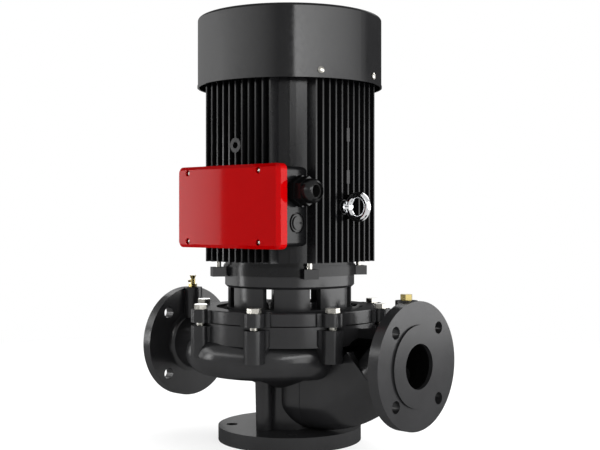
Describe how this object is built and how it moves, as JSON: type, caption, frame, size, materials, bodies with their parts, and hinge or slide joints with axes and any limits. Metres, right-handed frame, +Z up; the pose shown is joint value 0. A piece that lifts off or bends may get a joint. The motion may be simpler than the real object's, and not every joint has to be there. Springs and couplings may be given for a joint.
{
  "type": "vertical in-line pump",
  "caption": "Vertical in-line pump: volute casing with opposed suction and discharge flanges on a round foot, and a finned flange motor with fan cowl and terminal box above it.",
  "frame": {"origin": "centre of the foot's bolt circle, on its underside", "axes": "+Z up the shaft to the fan cowl, +X out of the suction flange, -Y out of the terminal box"},
  "size_m": [0.5, 0.3047, 0.656],
  "materials": {
    "cast_paint": "satin charcoal enamel on cast iron",
    "frame_paint": "satin black paint on cast aluminium",
    "cowl_paint": "satin black paint on sheet steel",
    "red_paint": "glossy red paint",
    "zinc": "zinc plated",
    "bright_steel": "ground steel",
    "core_steel": "stacked sheet steel",
    "chrome": "bright plated",
    "brass": "machined brass",
    "winding": "varnished copper windings",
    "board": "moulded terminal board",
    "ceramic": "lapped ceramic",
    "black_plastic": "black moulded plastic",
    "rubber": "black rubber"
  },
  "bodies": {
    "pump_body": {"volute_casing": "cast_paint", "wear_ring": "brass", "motor_stool": "cast_paint", "casing_o_ring": "rubber", "casing_bolts": "zinc", "seal_seat": "ceramic", "vent_valve": "brass", "gauge_plug": "brass", "drive_end_shield": "frame_paint", "flange_screws": "zinc", "lower_bearing_outer": "bright_steel", "motor_frame": "frame_paint", "stator_core": "core_steel", "stator_windings": "winding", "top_shield": "frame_paint", "upper_bearing_outer": "bright_steel", "wave_spring": "bright_steel", "tie_bolts": "zinc", "fan_cowl": "cowl_paint", "cowl_screws": "zinc", "terminal_box": "frame_paint", "box_screws": "zinc", "terminal_board": "board", "terminal_studs": "brass", "cover_gasket": "rubber", "terminal_cover": "red_paint", "cover_screws": "zinc", "gland_body": "black_plastic", "gland_nut": "black_plastic", "gland_seal": "rubber", "blanking_plug": "black_plastic", "lifting_eye": "chrome"},
    "rotor": {"impeller": "cast_paint", "impeller_key": "bright_steel", "impeller_nut": "bright_steel", "pump_shaft": "bright_steel", "shaft_key": "bright_steel", "set_screws": "bright_steel", "seal_spring": "bright_steel", "seal_rotary": "rubber", "v_ring": "rubber", "lower_bearing_inner": "bright_steel", "rotor_core": "core_steel", "motor_shaft": "bright_steel", "upper_bearing_inner": "bright_steel", "fan": "black_plastic", "fan_clip": "bright_steel"},
    "lower_cage": {"lower_ball_cage": "bright_steel"},
    "upper_cage": {"upper_ball_cage": "bright_steel"},
    "bleed_screw": {"vent_screw": "brass"}
  },
  "joints": [
    {"name": "rotor_spin", "type": "hinge", "parent": "pump_body", "child": "rotor", "pos_m": [0, 0, 0.258], "axis": [0, 0, 1], "continuous": true},
    {"name": "lower_cage_spin", "type": "hinge", "parent": "pump_body", "child": "lower_cage", "pos_m": [0, 0, 0.272], "axis": [0, 0, 1], "continuous": true},
    {"name": "upper_cage_spin", "type": "hinge", "parent": "pump_body", "child": "upper_cage", "pos_m": [0, 0, 0.566], "axis": [0, 0, 1], "continuous": true},
    {"name": "bleed_screw_turn", "type": "hinge", "parent": "pump_body", "child": "bleed_screw", "pos_m": [-0.227, 0, 0.2345], "axis": [0, 0, 1], "range_deg": [0, 360]}
  ],
  "couplings": [
    {"joint": "lower_cage_spin", "follows": "rotor_spin", "ratio": 0.3967},
    {"joint": "upper_cage_spin", "follows": "rotor_spin", "ratio": 0.3967}
  ]
}
